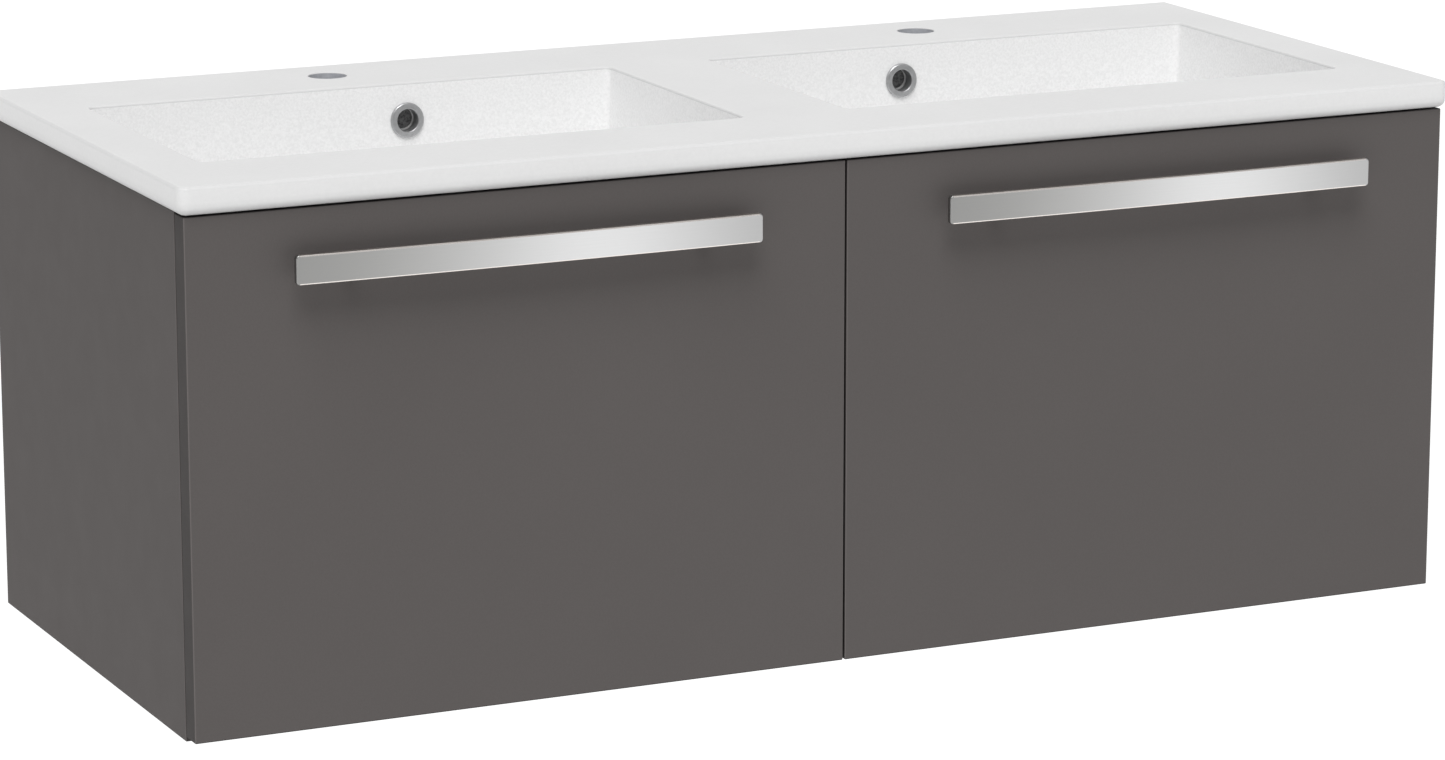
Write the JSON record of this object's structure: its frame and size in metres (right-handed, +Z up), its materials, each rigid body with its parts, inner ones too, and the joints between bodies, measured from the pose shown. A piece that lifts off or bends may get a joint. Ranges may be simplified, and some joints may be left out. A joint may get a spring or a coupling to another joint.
{
  "type": "bathroom vanity cabinet",
  "caption": "Wall-hung double vanity with a one-piece white basin slab over wide pull-out drawers with long bowed bar handles.",
  "frame": {"origin": "middle of the four wall screws, on the finished wall", "axes": "+X across the cabinet towards the right as seen from the front, +Y into the wall, +Z up; the drawers open along -Y"},
  "size_m": [1.21, 0.5305, 0.474],
  "materials": {
    "basin_white": "cast mineral slab, satin gel coat",
    "graphite_board": "matt warm dark-grey faced board",
    "drawer_board": "light grey melamine board",
    "satin_aluminium": "satin anodised",
    "runner_steel": "bright zinc-plated sheet",
    "screw_zinc": "zinc plated",
    "beech_dowel": "plain beech",
    "polished_chrome": "polished",
    "waste_plastic": "white moulded plastic",
    "grey_hose": "ribbed grey hose",
    "black_rubber": "matt",
    "clear_bumper": "milky soft pad"
  },
  "bodies": {
    "carcass": {"basin_top": "basin_white", "side_panel_left": "graphite_board", "side_panel_right": "graphite_board", "centre_partition": "graphite_board", "bottom_panel": "graphite_board", "hanging_rail": "graphite_board", "lower_back_rail": "graphite_board", "front_crossrail_left": "graphite_board", "front_crossrail_right": "graphite_board", "cam_locks": "screw_zinc", "cam_bolts": "screw_zinc", "dowels": "beech_dowel", "hanger_screws": "screw_zinc", "runner_screws": "screw_zinc", "waste_gaskets": "black_rubber", "hanger_body_left": "runner_steel", "hanger_body_right": "runner_steel", "hanger_hook_left": "runner_steel", "hanger_hook_right": "runner_steel", "wall_plate_left": "runner_steel", "wall_plate_right": "runner_steel", "overflow_ring_left": "polished_chrome", "overflow_ring_right": "polished_chrome", "overflow_elbow_left": "waste_plastic", "overflow_elbow_right": "waste_plastic", "overflow_hose_left": "grey_hose", "overflow_hose_right": "grey_hose", "waste_flange_left": "polished_chrome", "waste_flange_right": "polished_chrome", "waste_body_left": "waste_plastic", "waste_body_right": "waste_plastic", "runner_fixed_left": "runner_steel", "runner_fixed_right": "runner_steel"},
    "drawer_left": {"drawer_front_left": "graphite_board", "drawer_handle_left": "satin_aluminium", "handle_screws_left": "screw_zinc", "drawer_side_inner_left": "drawer_board", "drawer_side_outer_left": "drawer_board", "drawer_bottom_left": "drawer_board", "drawer_back_left": "drawer_board", "siphon_surround_left": "drawer_board", "front_brackets_left": "runner_steel", "front_bumpers_left": "clear_bumper", "runner_slider_left": "runner_steel"},
    "runner_mid_left": {"runner_mid_left": "runner_steel"},
    "plug_left": {"plug_left": "polished_chrome"},
    "drawer_right": {"drawer_front_right": "graphite_board", "drawer_handle_right": "satin_aluminium", "handle_screws_right": "screw_zinc", "drawer_side_inner_right": "drawer_board", "drawer_side_outer_right": "drawer_board", "drawer_bottom_right": "drawer_board", "drawer_back_right": "drawer_board", "siphon_surround_right": "drawer_board", "front_brackets_right": "runner_steel", "front_bumpers_right": "clear_bumper", "runner_slider_right": "runner_steel"},
    "runner_mid_right": {"runner_mid_right": "runner_steel"},
    "plug_right": {"plug_right": "polished_chrome"}
  },
  "joints": [
    {"name": "drawer_left_slide", "type": "slide", "parent": "carcass", "child": "drawer_left", "axis": [0, -1, 0], "range_m": [0, 0.39]},
    {"name": "runner_mid_left_slide", "type": "slide", "parent": "carcass", "child": "runner_mid_left", "axis": [0, -1, 0], "range_m": [0, 0.195]},
    {"name": "plug_left_slide", "type": "slide", "parent": "carcass", "child": "plug_left", "axis": [0, 0, 1], "range_m": [0, 0.009]},
    {"name": "drawer_right_slide", "type": "slide", "parent": "carcass", "child": "drawer_right", "axis": [0, -1, 0], "range_m": [0, 0.39]},
    {"name": "runner_mid_right_slide", "type": "slide", "parent": "carcass", "child": "runner_mid_right", "axis": [0, -1, 0], "range_m": [0, 0.195]},
    {"name": "plug_right_slide", "type": "slide", "parent": "carcass", "child": "plug_right", "axis": [0, 0, 1], "range_m": [0, 0.009]}
  ],
  "couplings": [
    {"joint": "runner_mid_left_slide", "follows": "drawer_left_slide", "ratio": 0.5},
    {"joint": "runner_mid_right_slide", "follows": "drawer_right_slide", "ratio": 0.5}
  ]
}
